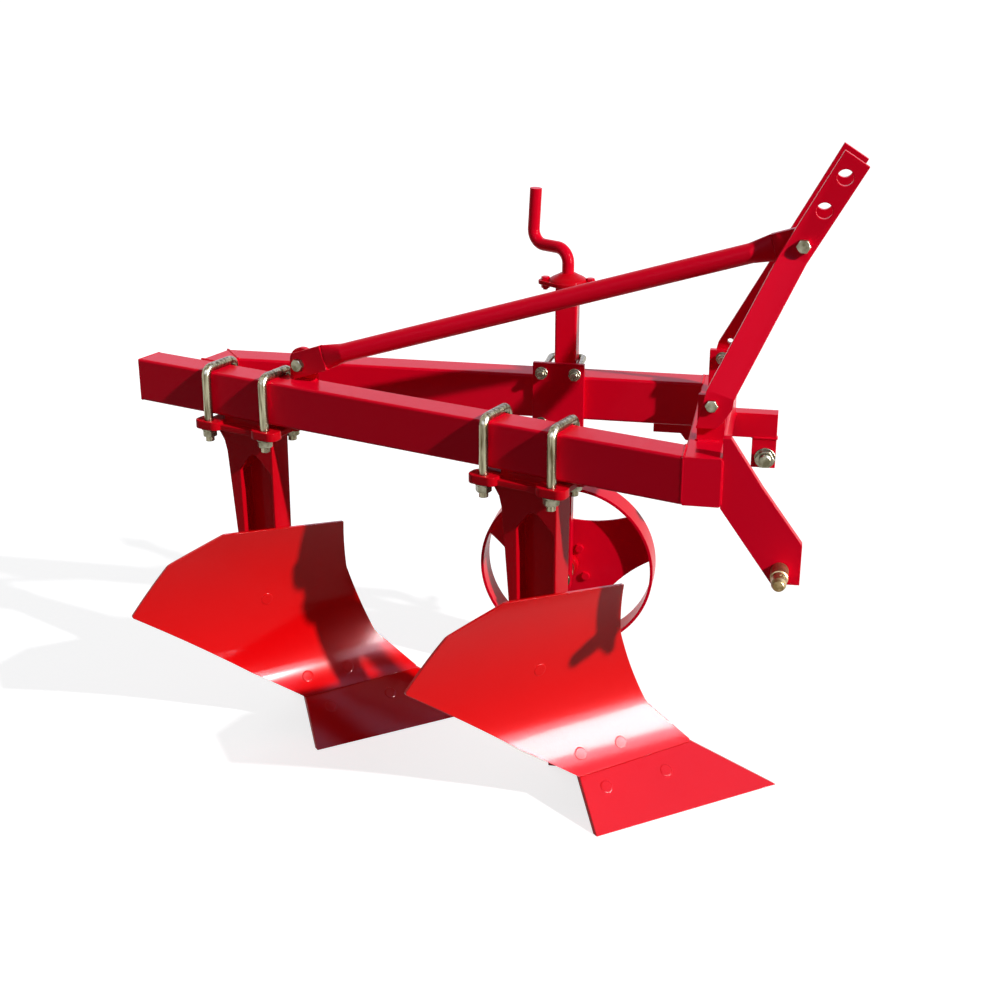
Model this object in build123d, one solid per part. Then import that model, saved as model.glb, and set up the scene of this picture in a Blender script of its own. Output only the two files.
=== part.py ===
from build123d import *
import math
import os

# Two-furrow mounted mouldboard plough, in millimetres.
#
# It is laid out in the working frame: +X the way it travels, +Y to its left, +Z up from
# the ground that its share edges and landsides stand on. The zero of X and Y is the
# corner where the long slanting beam meets the cross beam. At the end every piece is
# moved by one shift, so that the origin is the middle of the underside of the whole.

os.makedirs("parts", exist_ok=True)

# ---------------------------------------------------------------- driving dimensions
# layout
body_pitch = 550.0  # front body to rear body, along the travel
furrow_width = 190.0  # front body to rear body, sideways
beam_underside = 603.5  # ground to the underside of the frame
stub_reach = 33.88  # main beam's far side to the side beam, at the stub beam's face
standard_station = 270.0  # beam front corner to the axis of the front standard
stub_clearance = 9.7  # rear U-bolt leg to the face of the stub beam
beam_overhang = 101.7  # main beam behind the stub beam

# frame section
beam_width = 60.0
beam_height = 80.0
beam_wall = 5.0
beam_corner = 5.0
cap_corner = 3.0
cap_thickness = 4.0

# fits between fixed pieces
seat_gap = 0.3  # curved faces that seat on each other
hole_gap = 0.2  # radial, a bolt in its hole

# standards and their U-bolts
rod_radius = 8.0
rod_to_beam = 2.0  # U-bolt leg to the side of the beam
leg_ahead = 47.0  # standard axis to the front U-bolt
leg_behind = 80.0  # standard axis to the rear U-bolt
rod_tail = 9.0  # thread below the nut
flange_drop = 13.0  # beam underside to the top of the standard's flange
flange_thickness = 11.0
boss_height = 5.0
ear_length = 54.0
ear_width = 36.0
ear_corner = 14.0
ear_edge = 14.0  # U-bolt leg to the outer edge of its ear
column_front = 49.0  # standard axis to the front face
column_near = 25.0  # standard axis to the near face
column_far_top = 24.0
column_far_foot = 18.0
column_foot = 130.0  # ground to the bottom of the column
pocket_depth = 30.0

# bodies: mouldboard, share, landside and frog
board_angle = 42.0  # cutting edge to the travel, in plan
board_setback = 42.3  # standard axis to the mouldboard's rearmost line
board_deep_z = 245.0  # height of that line
lower_radius = 245.1  # mouldboard curve below that line
upper_radius = 410.0  # mouldboard curve above it
board_thickness = 6.0
seam_z = 74.5  # mouldboard's lower edge
seam_gap = 0.5
share_back = 11.3  # share thickness, measured level
share_wing = -185.8  # cutting edge's outer corner, across the body
share_point = -211.3  # cutting edge's point, across the body
landside_offset = 84.0  # standard axis to the landside
landside_thickness = 12.0
landside_height = 92.0
landside_rear = 10.4
landside_front = 355.0
frog_thickness = 11.0
frog_floor_z = 112.0

# mast
mast_centre = 222.0  # middle plane of the mast, from the beam corner
mast_gap = 71.0  # between the bars at the top
mast_foot_spread = 266.0  # between the middles of the two lugs
bar_width = 46.0
bar_thickness = 10.0
lug_thickness = 12.0
lug_half = 22.0  # half the lug's width
lug_rise = 14.0  # foot bolt to the lug's top
foot_bolt_radius = 6.0
stay_bolt_radius = 8.0
top_hole_radius = 12.75

# stay
stay_radius = 16.5
tongue_width = 45.0
tongue_thickness = 12.0
tongue_tail = 15.5  # rear bolt to the square end of the tongue
stay_to_leg = 48.9  # rear bolt of the stay to the U-bolt leg behind it, along the main beam
stay_height = 29.5  # rear bolt above the beam
stay_across = 42.0  # middle of the rear tongue, across the main beam
crimp_length = 38.0
fold_reach_rear = 52.0  # rear bolt to the fold
fold_reach_front = 46.0
fold_rise = 4.0

# lower hitch points
hitch_plate_thickness = 16.0
hitch_plate_inset = 4.0
hitch_corner = 2.0
right_pin_radius = 13.85
left_pin_radius = 14.0
pin_shank_radius = 10.0
pin_length = 52.0
pin_taper = 10.0
pin_nose = 5.5  # the pin's radius less the radius of its end
linch_hole = 17.0  # linch hole to the pin's end
arm_thickness = 30.0
arm_height = 46.0
arm_drop = 34.5  # beam underside to the underside of the left arm

# depth wheel
post_x = -253.5
post_size = 40.0
post_wall = 4.5
post_top = 832.0
post_foot = 555.0
leg_clearance = 0.3
leg_foot = 238.0
leg_top = 700.0
clamp_thickness = 10.0
clamp_rod_radius = 6.0
clamp_rod_to_beam = 1.0
wheel_z = 259.0
wheel_radius = 170.0
wheel_width = 60.0
wheel_gap = 12.0  # post to the wheel's band
band_thickness = 6.0
web_thickness = 6.0
web_arc_centre = 345.0  # axle to the centre of a web cut-out's arc
web_arc_radius = 250.0
spoke_angles = (24.0, 144.0, 264.0)
axle_radius = 10.0
axle_running_gap = 0.05
hub_radius = 22.0
hub_length = 57.0
hub_flange_radius = 56.0
hub_flange_thickness = 8.0
hub_bolt_circle = 42.0
hub_bolt_radius = 5.0
crank_radius = 11.0
crank_rise = 57.0
crank_arm = 84.0
crank_handle = 100.0
crank_bend = 26.0
crank_turn = 149.0  # direction of the crank's arm in plan, from +X

# ---------------------------------------------------------------- worked-out values
beam_angle = math.degrees(math.atan2(furrow_width, body_pitch))
beam_cos = math.cos(math.radians(beam_angle))
beam_sin = math.sin(math.radians(beam_angle))
station_pitch = math.hypot(body_pitch, furrow_width)
beam_mid = beam_underside + beam_height / 2
beam_top = beam_underside + beam_height
rear_leg_station = standard_station + station_pitch + leg_behind
stay_station = standard_station + station_pitch - leg_ahead - stay_to_leg
stub_front = rear_leg_station + stub_clearance
stub_rear = stub_front + beam_width
main_length = stub_rear + beam_overhang
side_near = stub_front * beam_sin + beam_width * beam_cos + stub_reach
cross_length = side_near + beam_width

pieces = {}


# ---------------------------------------------------------------- shared shapes
def along_beam(shape):
    """Turn a shape drawn with +x forward along the main beam into the working frame."""
    return Rot(0, 0, -beam_angle) * shape


def beam_point(station, across, z=0.0):
    """Working-frame place of a point at a station behind the beam corner."""
    x = -station * beam_cos + across * beam_sin
    y = station * beam_sin + across * beam_cos
    return (x, y, z)


def slab(outline, z0, z1):
    """Prism on a plan outline of (x, y) points, between two heights."""
    return Pos(0, 0, z0) * extrude(Polygon(*outline, align=None), z1 - z0, dir=(0, 0, 1))


def side_slab(outline, y0, y1):
    """Prism on a side outline of (x, z) points, between two values of y."""
    face = Plane.XZ * Polygon(*outline, align=None)
    return Pos(0, y0, 0) * extrude(face, y1 - y0, dir=(0, 1, 0))


def end_slab(outline, x0, x1):
    """Prism on an end outline of (y, z) points, between two values of x."""
    face = Plane.YZ * Polygon(*outline, align=None)
    return Pos(x0, 0, 0) * extrude(face, x1 - x0, dir=(1, 0, 0))


def block(x, y, z):
    """Block between the (low, high) pairs x, y and z."""
    size = [high - low for low, high in (x, y, z)]
    middle = [(high + low) / 2 for low, high in (x, y, z)]
    return Pos(*middle) * Box(*size)


def rod(start, end, radius):
    """Round bar between two points."""
    axis = Vector(end) - Vector(start)
    return extrude(Plane(origin=start, z_dir=axis) * Circle(radius), axis.length)


def bent_rod(points, radius, bend):
    """Round bar along straight runs, with arcs of the same radius at the corners."""
    path = FilletPolyline(*points, radius=bend)
    return sweep(Plane(origin=path @ 0, z_dir=path % 0) * Circle(radius), path=path)


def hexagon(start, axis, radius, height):
    """Hexagonal head or nut for a bolt of this radius."""
    outline = RegularPolygon(1.5 * radius, 6, major_radius=False)
    return extrude(Plane(origin=start, z_dir=axis) * outline, height)


def nut(start, axis, radius):
    """Hexagonal nut with its bore, growing from its seat along the axis."""
    height = 1.8 * radius
    body = hexagon(start, axis, radius, height)
    end = Vector(start) + Vector(axis).normalized() * height
    return body - rod(start, end, radius + hole_gap)


def bolt(start, axis, radius, grip):
    """Bolt with its nut: head before the start, shank over the grip, nut after it."""
    unit = Vector(axis).normalized()
    begin = Vector(start)
    nut_seat = begin + unit * grip
    tip = nut_seat + unit * 2.2 * radius
    shape = hexagon(begin, (-unit), radius, 1.25 * radius)
    shape += rod(begin, tip, radius)
    shape += hexagon(nut_seat, unit, radius, 1.6 * radius)
    return shape


# ---------------------------------------------------------------- frame beams
def section(width, height, corner):
    return Plane.YZ * RectangleRounded(width, height, corner)


def box_beam(length):
    """Open box section along +x from x = 0, its side at y = 0, at the frame's height."""
    inner_width = beam_width - 2 * beam_wall
    inner_height = beam_height - 2 * beam_wall
    outer = extrude(section(beam_width, beam_height, beam_corner), length)
    inner = extrude(Plane.YZ * Rectangle(inner_width, inner_height), length)
    return Pos(0, beam_width / 2, beam_mid) * (outer - inner)


def end_cap():
    """Plate that closes a beam's end, over x = 0 to the cap's thickness."""
    plate = extrude(section(beam_width, beam_height, cap_corner), cap_thickness)
    return Pos(0, beam_width / 2, beam_mid) * plate


def trimmed(shape, outline):
    """The part of a beam that lies over a plan outline."""
    return shape & slab(outline, beam_underside - 1, beam_top + 1)


# main beam: square behind, cut parallel to the cross beam in front
front_bevel = beam_width * beam_sin / beam_cos
main_outline = [
    (0, 0),
    (-front_bevel, beam_width),
    (cap_thickness - main_length, beam_width),
    (cap_thickness - main_length, 0),
]
main_run = Pos(-main_length, 0, 0) * box_beam(main_length + 10)
pieces["main_beam"] = along_beam(trimmed(main_run, main_outline))
pieces["main_beam_cap"] = along_beam(Pos(-main_length, 0, 0) * end_cap())

# cross beam, with a cap at each end
cross_run = Pos(beam_width, 0, 0) * Rot(0, 0, 90) * Pos(cap_thickness, 0, 0)
pieces["cross_beam"] = cross_run * box_beam(cross_length - 2 * cap_thickness)
for name, y in (("right", 0), ("left", cross_length - cap_thickness)):
    pieces[f"cross_beam_cap_{name}"] = Pos(beam_width, y, 0) * Rot(0, 0, 90) * end_cap()


# side beam along the travel and stub beam square to the main beam, mitred together
def mitre_point(station, y):
    """Where the stub face at a station crosses the side beam face at y."""
    across = (y - station * beam_sin) / beam_cos
    return beam_point(station, across)[:2]


inner_kink = mitre_point(stub_front, side_near)
outer_kink = mitre_point(stub_rear, cross_length)
side_outline = [(0, side_near), (0, cross_length), outer_kink, inner_kink]
side_run = Pos(outer_kink[0] - 10, side_near, 0) * box_beam(10 - outer_kink[0])
pieces["side_beam"] = trimmed(side_run, side_outline)

stub_outline = [
    beam_point(stub_front, beam_width)[:2],
    inner_kink,
    outer_kink,
    beam_point(stub_rear, beam_width)[:2],
]
stub_run = Pos(-stub_front, beam_width, 0) * Rot(0, 0, 90) * box_beam(cross_length / 2)
pieces["stub_beam"] = trimmed(along_beam(stub_run), stub_outline)


# ---------------------------------------------------------------- standards
# Everything of a body is drawn about its standard's axis, x forward, and placed twice.
leg_across = beam_width / 2 + rod_to_beam + rod_radius
flange_top = beam_underside - flange_drop
flange_foot = flange_top - flange_thickness
boss_top = flange_top + boss_height
leg_places = [(x, y) for x in (leg_ahead, -leg_behind) for y in (-leg_across, leg_across)]


def standard():
    """Cast standard: eared flange with a pad to the beam, column with a side pocket."""
    ear_edge_y = leg_across + ear_edge
    flange = block(
        (-leg_behind - ear_length / 3, leg_ahead + ear_length / 3),
        (-ear_edge_y + 12, ear_edge_y - 12),
        (flange_foot, flange_top),
    )
    for x, y in leg_places:
        ear_y = math.copysign(ear_edge_y - ear_width / 2, y)
        ear = RectangleRounded(ear_length, ear_width, ear_corner)
        flange += Pos(x, ear_y, flange_foot) * extrude(ear, boss_top - flange_foot)
    pad_corner_x = column_front - 6
    flange += block((-56, pad_corner_x), (-column_near, column_near), (flange_top, beam_underside))

    side_outline = [
        (column_front, column_foot),
        (column_front, flange_top - 1),
        (-66, flange_top - 1),
        (-82, flange_foot),
        (-69, flange_foot - 10),
        (-60, flange_foot - 24),
        (-55, flange_foot - 44),
        (-41, 366),
        (-35, column_foot),
    ]
    end_outline = [
        (-column_near, column_foot),
        (-column_near, flange_top),
        (column_far_top, flange_top),
        (column_far_foot, column_foot),
    ]
    column = side_slab(side_outline, -column_near, column_far_top)
    column &= end_slab(end_outline, -80, 80)

    pocket_outline = FilletPolyline(
        (column_front - 5, 150),
        (column_front - 5, 505),
        (5, 543),
        (-26, 505),
        (-20, 150),
        radius=(6, 14, 14),
    )
    pocket_edges = [*pocket_outline.edges(), Line(pocket_outline @ 1, pocket_outline @ 0)]
    pocket = extrude(Plane.XZ * make_face(pocket_edges), pocket_depth, dir=(0, 1, 0))
    column -= Pos(0, -column_near, 0) * pocket

    shape = flange + column
    for x, y in leg_places:
        shape -= rod((x, y, flange_foot - 1), (x, y, boss_top + 1), rod_radius + hole_gap)
    return shape


def u_bolts():
    """The two U-bolts over the beam: legs, corners and the run across the top."""
    top = beam_top + rod_radius
    foot = flange_foot - 1.8 * rod_radius - rod_tail
    shapes = []
    for x in (leg_ahead, -leg_behind):
        points = [
            (x, -leg_across, foot),
            (x, -leg_across, top),
            (x, leg_across, top),
            (x, leg_across, foot),
        ]
        shapes.append(bent_rod(points, rod_radius, 1.75 * rod_radius))
    return shapes


def u_bolt_nuts():
    return [nut((x, y, flange_foot), (0, 0, -1), rod_radius) for x, y in leg_places]


# ---------------------------------------------------------------- bodies
# Board frame: x along the share's edge, y square to it and away from the cut furrow.
lower_centre = -board_setback - lower_radius
upper_centre = -board_setback - upper_radius


def board_y(z):
    """Place of the mouldboard's face across the board frame at a height below its deep line."""
    return lower_centre + math.sqrt(lower_radius**2 - (board_deep_z - z) ** 2)


def curved_sheet(front, back):
    """Long sheet on the mouldboard's two-arc curve, between two distances behind its face."""
    low, high = -62, 30
    lower = (lower_centre, board_deep_z)
    upper = (upper_centre, board_deep_z)
    edges = [
        CenterArc(lower, lower_radius + front, low, -low),
        CenterArc(upper, upper_radius + front, 0, high),
        CenterArc(upper, upper_radius + back, 0, high),
        CenterArc(lower, lower_radius + back, low, -low),
    ]
    edges.append(Line(edges[1] @ 1, edges[2] @ 1))
    edges.append(Line(edges[0] @ 0, edges[3] @ 0))
    return Pos(-340, 0, 0) * extrude(Plane.YZ * make_face(edges), 680, dir=(1, 0, 0))


def share_block(front, back, reach):
    """Ruled block on the share's surface, between two level distances behind it."""
    seam_y = board_y(seam_z - seam_gap)
    wing = Vector(6.8, share_wing, 0)
    point = Vector(378.1, share_point, 0)
    seam_left = Vector(19.8, seam_y, seam_z - seam_gap)
    seam_right = Vector(261.4, seam_y, seam_z - seam_gap)
    point += (point - wing) * reach
    seam_right += (seam_right - seam_left) * reach
    sections = []
    for left, right in ((wing, point), (seam_left, seam_right)):
        corners = [(p.X, p.Y + d) for p, d in ((left, front), (right, front), (right, back), (left, back))]
        sections.append(Pos(0, 0, left.Z) * Polygon(*corners, align=None))
    return loft(sections, ruled=True)


def ahead_of_board():
    """Room that the mouldboard and what lies in front of it take."""
    return curved_sheet(-150, board_thickness + seat_gap)


def ahead_of_share():
    """Room that the share and what lies in front of it take."""
    return share_block(-200, share_back + seat_gap, 0.3)


def mouldboard():
    """Curved sheet cut to its outline: shin, top edge, tail and lower edge."""
    # corner:  x along the edge, z, rounding
    corners = [
        (19.4, seam_z, 0),
        (262.4, seam_z, 3),
        (194.4, 150, 30),
        (146.4, 291, 60),
        (131.9, 395, 3),
        (-108.6, 422, 16),
        (-210.1, 377, 20),
        (-278.6, 284, 5),
        (-67.6, 130, 60),
    ]
    outline = FilletPolyline(
        *[(x, z) for x, z, _ in corners],
        radius=[rounding for _, _, rounding in corners],
        close=True,
    )
    prism = extrude(Plane.XZ * make_face(outline.edges()), 400, dir=(0, -1, 0))
    return curved_sheet(0, board_thickness) & prism


def share():
    """Share: a plate ruled from the cutting edge on the ground to the seam."""
    return share_block(0, share_back, 0)


def frog(board_turn):
    """Frog: the bracket behind the mouldboard that joins column, share and landside."""
    backing = curved_sheet(board_thickness + seat_gap, board_thickness + seat_gap + frog_thickness)
    backing &= side_slab([(30, 60), (24, 88), (-46, 134), (-46, 190), (250, 190), (250, 60)], -400, 400)
    seat = share_block(share_back + seat_gap, share_back + seat_gap + frog_thickness, 0)
    seat &= block((30, 246), (-400, 400), (8, 90))
    web_y = (landside_offset - seat_gap - frog_thickness, landside_offset - seat_gap)
    web = block((55, 300), web_y, (12, 150))
    floor_outline = [(-40, -25), (-40, web_y[1]), (300, web_y[1]), (60, -60)]
    floor = slab(floor_outline, frog_floor_z, frog_floor_z + frog_thickness)
    foot = Rot(0, 0, -beam_angle) * block((-42, 55), (-30, 24), (frog_floor_z, column_foot))
    column_room = beam_turn * block(
        (-70, column_front + seat_gap),
        (-column_near - seat_gap, column_far_top + seat_gap),
        (column_foot, column_foot + 100),
    )
    shape = board_turn * (backing + seat) + web + floor + foot - column_room
    shape -= board_turn * (ahead_of_board() + ahead_of_share())
    return shape & block((-400, 400), (-400, web_y[1]), (0, column_foot + 100))


def landside(board_turn):
    """Landside: the long plate that slides along the furrow wall."""
    plate = block(
        (landside_rear, landside_front),
        (landside_offset, landside_offset + landside_thickness),
        (0, landside_height),
    )
    plate -= board_turn * (ahead_of_share() + ahead_of_board())
    return max(plate.solids(), key=lambda solid: solid.volume)


board_turn = Rot(0, 0, board_angle)
beam_turn = Rot(0, 0, -beam_angle)
turned_standard = beam_turn * standard() - board_turn * ahead_of_board()
body_pieces = {
    "standard": turned_standard,
    "u_bolts": beam_turn * Compound(u_bolts()),
    "u_bolt_nuts": beam_turn * Compound(u_bolt_nuts()),
    "mouldboard": board_turn * mouldboard(),
    "share": board_turn * share(),
    "landside": landside(board_turn),
    "frog": frog(board_turn),
}
for index, place in enumerate(("front", "rear")):
    axis = beam_point(standard_station + index * station_pitch, beam_width / 2)
    for name, shape in body_pieces.items():
        pieces[f"{place}_{name}"] = Pos(*axis) * shape

# ---------------------------------------------------------------- mast
lug_bolt = (36.0, beam_top + 62.0)  # x, z of the foot bolts
stay_bolt_point = (160.3, 980.8)
top_holes = ((215.9, 1087.6), (188.1, 1035.9))
bend_run = Vector(43, 0, -14).normalized()
bend_rise = Vector(14, 0, 43).normalized()
lower_bend = Vector(48.6, 0, 763.9).dot(bend_rise)
upper_bend = Vector(144.7, 0, 957.8).dot(bend_rise)
foot_offset = mast_foot_spread / 2 + (lug_thickness + bar_thickness) / 2
top_offset = (mast_gap + bar_thickness) / 2


def mast_lug():
    """Square lug on the cross beam, bored for the foot bolt. Over y = 0 up."""
    x, z = lug_bolt
    lug = block((x - lug_half, x + lug_half), (0, lug_thickness), (beam_top, z + lug_rise))
    return lug - rod((x, -1, z), (x, lug_thickness + 1, z), foot_bolt_radius + hole_gap)


def mast_bar():
    """Flat bar, bent twice: the near bar of the mast, in its place."""
    foot_y = mast_centre - foot_offset
    top_y = mast_centre - top_offset
    bend = math.atan2(top_y - foot_y, upper_bend - lower_bend)
    half = bar_thickness / 2
    mitre = half * math.tan(bend / 2)
    reach = top_holes[0][1]
    profile = [
        (foot_y - half, beam_underside),
        (foot_y - half, lower_bend + mitre),
        (top_y - half, upper_bend + mitre),
        (top_y - half, 1.2 * reach),
        (top_y + half, 1.2 * reach),
        (top_y + half, upper_bend - mitre),
        (foot_y + half, lower_bend - mitre),
        (foot_y + half, beam_underside),
    ]
    bend_plane = Plane(origin=(0, 0, 0), x_dir=(0, 1, 0), z_dir=bend_run)
    strip = extrude(bend_plane * Polygon(*profile, align=None), reach, both=True)
    outline = [
        (12.6, 707),
        (27, 770),
        (123, 964),
        (212.6, 1129),
        (251.6, 1104.4),
        (166.4, 951.4),
        (70, 755),
        (68.7, 741),
        (55, 718),
        (44, 707),
    ]
    bar = strip & side_slab(outline, 0, mast_centre)
    # hole:  x, z, radius
    holes = [(*lug_bolt, foot_bolt_radius + hole_gap)]
    holes.append((*stay_bolt_point, stay_bolt_radius + hole_gap))
    holes += [(x, z, top_hole_radius) for x, z in top_holes]
    for x, z, radius in holes:
        bar -= rod((x, 0, z), (x, mast_centre, z), radius)
    return bar


mast_plane = Plane.XZ.offset(-mast_centre)
near_lug = Pos(0, mast_centre - mast_foot_spread / 2 - lug_thickness / 2, 0) * mast_lug()
near_bar = mast_bar()
far_bar = mirror(near_bar, about=mast_plane)
far_bar -= rod((48, mast_centre, 775), (48, cross_length, 775), 5)
pieces["mast_lug_right"] = near_lug
pieces["mast_lug_left"] = mirror(near_lug, about=mast_plane)
pieces["mast_bar_right"] = near_bar
pieces["mast_bar_left"] = far_bar

near_foot_face = mast_centre - foot_offset - bar_thickness / 2
foot_bolt = bolt(
    (lug_bolt[0], near_foot_face, lug_bolt[1]),
    (0, 1, 0),
    foot_bolt_radius,
    bar_thickness + lug_thickness,
)
pieces["mast_foot_bolts"] = Compound([foot_bolt, mirror(foot_bolt, about=mast_plane)])
pieces["mast_stay_bolt"] = bolt(
    (stay_bolt_point[0], mast_centre - mast_gap / 2 - bar_thickness, stay_bolt_point[1]),
    (0, 1, 0),
    stay_bolt_radius,
    mast_gap + 2 * bar_thickness,
)

# ---------------------------------------------------------------- stay
rear_eye = Vector(*beam_point(stay_station, stay_across, beam_top + stay_height))
front_eye = Vector(stay_bolt_point[0], mast_centre, stay_bolt_point[1])
beam_forward = Vector(beam_cos, -beam_sin, 0)
stay_slope = (front_eye.Z - rear_eye.Z) / (front_eye - rear_eye).length
rear_fold = rear_eye + Vector(beam_forward.X, beam_forward.Y, stay_slope) * fold_reach_rear
rear_fold += Vector(0, 0, fold_rise)
front_fold = front_eye - Vector(1, 0, stay_slope) * fold_reach_front
pipe_axis = (front_fold - rear_fold).normalized()


def tongue(eye, fold, side, square):
    """Flat end of the stay, from the fold to a square or round end past the bolt."""
    run = eye - fold
    half = tongue_width / 2
    lean = half * run.Z / math.hypot(run.X, run.Y)
    if square:
        end = run.length + tongue_tail
        strip = Polygon((0, -half), (0, half), (end + lean, half), (end - lean, -half), align=None)
    else:
        strip = Rectangle(run.length, tongue_width, align=(Align.MIN, Align.CENTER))
        strip += Pos(run.length, 0) * Circle(half)
    flat = extrude(Plane(origin=fold, x_dir=run, z_dir=side) * strip, tongue_thickness / 2, both=True)
    reach = side * tongue_thickness
    return flat - rod((eye - reach), (eye + reach), stay_bolt_radius + hole_gap)


def crimp(fold, side, inward):
    """Pressed transition from the round pipe to the flat tongue."""
    flat_plane = Plane(origin=fold, x_dir=side, z_dir=inward)
    round_at = fold + inward * crimp_length
    round_plane = Plane(origin=round_at, x_dir=side, z_dir=inward)
    flat = flat_plane * Ellipse(tongue_thickness / 2, tongue_width / 2)
    return loft([flat, round_plane * Circle(stay_radius)])


rear_side = Vector(beam_sin, beam_cos, 0)
front_side = Vector(0, 1, 0)
pipe_start = rear_fold + pipe_axis * crimp_length
pipe_end = front_fold - pipe_axis * crimp_length
stay = rod(pipe_start, pipe_end, stay_radius)
stay += tongue(rear_eye, rear_fold, rear_side, True)
stay += tongue(front_eye, front_fold, front_side, False)
stay += crimp(rear_fold, rear_side, pipe_axis)
stay += crimp(front_fold, front_side, -pipe_axis)
pieces["mast_stay"] = stay

lug_across = stay_across + tongue_thickness / 2
stay_z = beam_top + stay_height
stay_lug = side_slab(
    [(-30, beam_top), (-30, stay_z), (26, stay_z), (26, beam_top)],
    0,
    bar_thickness,
)
stay_lug += rod((-2, 0, stay_z), (-2, bar_thickness, stay_z), 28)
stay_lug -= rod((0, -1, stay_z), (0, bar_thickness + 1, stay_z), stay_bolt_radius + hole_gap)
pieces["stay_lug"] = along_beam(Pos(-stay_station, lug_across, 0) * stay_lug)
pieces["stay_bolt"] = bolt(
    beam_point(stay_station, stay_across - tongue_thickness / 2, stay_z),
    rear_side,
    stay_bolt_radius,
    tongue_thickness + bar_thickness,
)


# ---------------------------------------------------------------- lower hitch points
def hitch_pin(radius, length):
    """Lower-link pin along +y from its shoulder at y = 0, with a threaded shank behind."""
    profile = [
        (0, 0),
        (radius, 0),
        (radius, length - pin_taper),
        (radius - pin_nose, length),
        (0, length),
    ]
    nose = revolve(Polygon(*profile, align=None), Axis.Y)
    shank_end = -hitch_plate_thickness
    nose += rod((0, 0, 0), (0, shank_end - 22, 0), pin_shank_radius)
    nose += hexagon((0, shank_end, 0), (0, -1, 0), pin_shank_radius, 14)
    linch = Vector(math.cos(math.radians(40)), 0, math.sin(math.radians(40))) * 2 * radius
    linch_y = Vector(0, length - linch_hole, 0)
    return nose - rod((linch_y - linch), (linch_y + linch), 4)


right_pin_x = beam_width + 97.5
right_pin_z = beam_underside - 98.5
# right plate:  x ahead of the cross beam, z from the beam's underside
right_outline = [
    (0, -2.5),
    (0, 112.5),
    (12, 112.5),
    (64, 34.5),
    (129.5, -55.0),
    (129.3, -122.0),
    (85, -122.5),
]
right_points = [(beam_width + x, beam_underside + z) for x, z in right_outline]
right_plate_far = hitch_plate_inset + hitch_plate_thickness
right_plate = side_slab(right_points, hitch_plate_inset, right_plate_far)
right_plate -= rod(
    (right_pin_x, 0, right_pin_z),
    (right_pin_x, right_plate_far + 1, right_pin_z),
    pin_shank_radius + hole_gap,
)
pieces["right_hitch_plate"] = right_plate
pieces["right_hitch_pin"] = (
    Pos(right_pin_x, hitch_plate_inset, right_pin_z)
    * Rot(0, 0, 180)
    * hitch_pin(right_pin_radius, pin_length)
)

arm_foot = beam_underside - arm_drop
left_pin_x = beam_width + 57.0
left_pin_z = arm_foot - 37.4
left_plate_foot = left_pin_z - 19.1
pieces["left_hitch_arm"] = side_slab(
    [(-88, arm_foot), (-88, arm_foot + arm_height), (136, arm_foot + arm_height), (136, arm_foot)],
    cross_length,
    cross_length + arm_thickness,
)
pieces["left_hitch_stiffener"] = side_slab(
    [(-38, arm_foot), (28, arm_foot), (18, arm_foot - 13), (-28, arm_foot - 13)],
    cross_length,
    cross_length + arm_thickness,
)
left_plate = side_slab(
    [(92, arm_foot), (136, arm_foot), (136, left_plate_foot), (92, left_plate_foot)],
    cross_length,
    cross_length + hitch_plate_thickness,
)
left_plate = fillet(left_plate.edges().filter_by(Axis.Y).group_by(Axis.Z)[0], hitch_corner)
left_plate -= rod(
    (left_pin_x, cross_length - 1, left_pin_z),
    (left_pin_x, cross_length + hitch_plate_thickness + 1, left_pin_z),
    pin_shank_radius + hole_gap,
)
pieces["left_hitch_plate"] = left_plate
pieces["left_hitch_pin"] = Pos(
    left_pin_x, cross_length + hitch_plate_thickness, left_pin_z
) * hitch_pin(left_pin_radius, pin_length)

# ---------------------------------------------------------------- depth wheel mounting
post_y = cross_length + post_size / 2
post_far = cross_length + post_size
clamp_front = post_x + 45
clamp_rear = post_x - 48
clamp_near = side_near - clamp_thickness
clamp_rod_x = (post_x - 32, post_x + 28)
clamp_rod_z = (
    beam_underside - clamp_rod_to_beam - clamp_rod_radius,
    beam_top + clamp_rod_to_beam + clamp_rod_radius,
)

clamp_plate = block(
    (clamp_rear, clamp_front),
    (clamp_near, side_near),
    (clamp_rod_z[0] - 18.5, clamp_rod_z[1] + 18.5),
)
clamp_rods = []
clamp_nuts = []
for z in clamp_rod_z:
    for x in clamp_rod_x:
        near = (x, clamp_near - 1, z)
        clamp_plate -= rod(near, (x, side_near + 1, z), clamp_rod_radius + hole_gap)
        clamp_nuts.append(nut((x, clamp_near, z), (0, -1, 0), clamp_rod_radius))
    rod_end = clamp_near - 1.8 * clamp_rod_radius - 5
    back = post_far + clamp_rod_radius
    route = [
        (clamp_rod_x[0], rod_end, z),
        (clamp_rod_x[0], back, z),
        (clamp_rod_x[1], back, z),
        (clamp_rod_x[1], rod_end, z),
    ]
    clamp_rods.append(bent_rod(route, clamp_rod_radius, 1.5 * clamp_rod_radius))
pieces["wheel_clamp_plate"] = clamp_plate
pieces["wheel_clamp_bolts"] = Compound(clamp_rods)
pieces["wheel_clamp_nuts"] = Compound(clamp_nuts)

post_inner = post_size - 2 * post_wall
leg_size = post_inner - 2 * leg_clearance
post = Pos(post_x, post_y, post_foot) * extrude(RectangleRounded(post_size, post_size, 4), post_top - post_foot)
post -= Pos(post_x, post_y, post_foot) * extrude(Rectangle(post_inner, post_inner), post_top - post_foot)
pieces["wheel_post"] = post

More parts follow.
